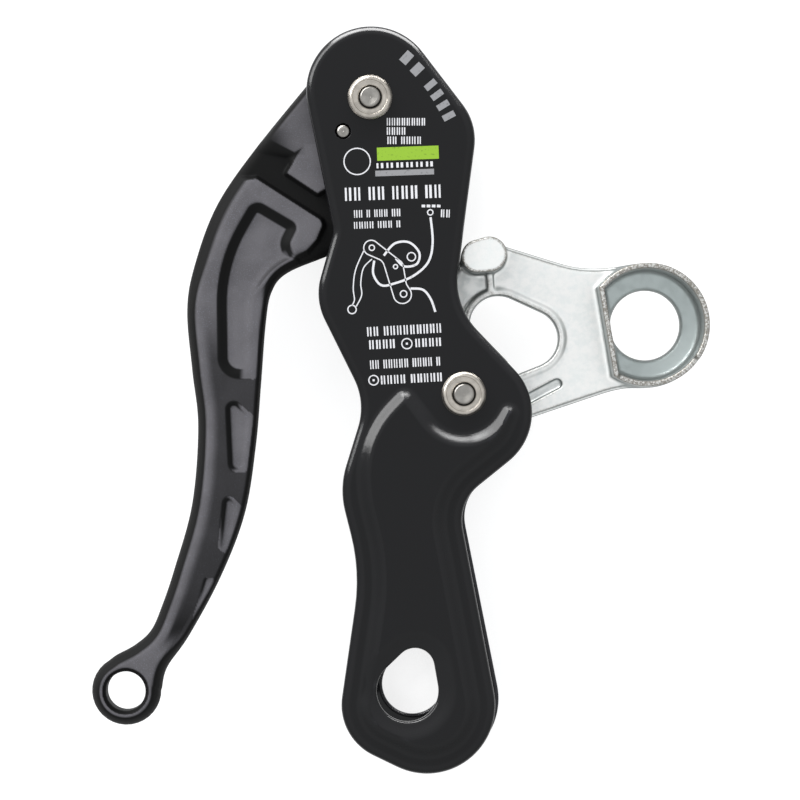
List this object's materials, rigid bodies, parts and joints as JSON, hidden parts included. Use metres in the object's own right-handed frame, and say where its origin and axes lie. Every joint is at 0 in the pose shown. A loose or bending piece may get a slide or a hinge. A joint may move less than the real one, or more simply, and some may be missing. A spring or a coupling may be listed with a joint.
{
  "type": "rope descender",
  "caption": "Self-braking rope descender: two embossed side plates on riveted axles, with a long curved hand lever on one and an eyed swing cam on the other.",
  "frame": {"origin": "centre of the footprint, on the table that the back plate lies on", "axes": "+Z out of the front plate's printed face, +Y from the harness eye towards the upper axle, +X towards the cam's eye"},
  "size_m": [0.208, 0.2499, 0.032],
  "materials": {
    "anodised_plate": "black anodised, fine satin grain",
    "coated_casting": "matt black coated forging",
    "zinc_casting": "zinc plated cast steel",
    "rivet_steel": "turned steel",
    "spring_steel": "drawn spring wire",
    "bronze": "sintered bronze",
    "nylon": "natural nylon"
  },
  "bodies": {
    "front_side": {"front_plate": "anodised_plate", "upper_axle": "rivet_steel", "lower_axle": "rivet_steel", "upper_washer_front": "rivet_steel", "lower_washer_front": "rivet_steel", "upper_washer_back": "rivet_steel", "lower_washer_back": "rivet_steel", "plate_spring_washer": "spring_steel", "handle_sleeve": "rivet_steel", "cam_sleeve": "rivet_steel", "handle_thrust_ring_front": "nylon", "handle_thrust_ring_back": "nylon", "cam_thrust_ring_front": "nylon", "cam_thrust_ring_back": "nylon", "stop_pin": "rivet_steel"},
    "handle": {"handle": "coated_casting", "handle_bush": "bronze", "handle_spring": "spring_steel"},
    "cam": {"swing_cam": "zinc_casting", "cam_bush": "bronze", "cam_spring": "spring_steel"},
    "back_side": {"back_plate": "anodised_plate"}
  },
  "joints": [
    {"name": "handle_pivot", "type": "hinge", "parent": "front_side", "child": "handle", "pos_m": [-0.01, 0.101, 0.0165], "axis": [0, 0, 1], "range_deg": [-60, 2], "stiffness_Nm_per_rad": 0.06, "deforming": ["handle_spring"]},
    {"name": "cam_pivot", "type": "hinge", "parent": "front_side", "child": "cam", "pos_m": [0.0213, 0.002, 0.0165], "axis": [0, 0, 1], "range_deg": [-45, 20], "stiffness_Nm_per_rad": 0.04, "deforming": ["cam_spring"]},
    {"name": "back_plate_swing", "type": "hinge", "parent": "front_side", "child": "back_side", "pos_m": [-0.01, 0.101, 0.0045], "axis": [0, 0, 1], "range_deg": [-80, 0]}
  ]
}
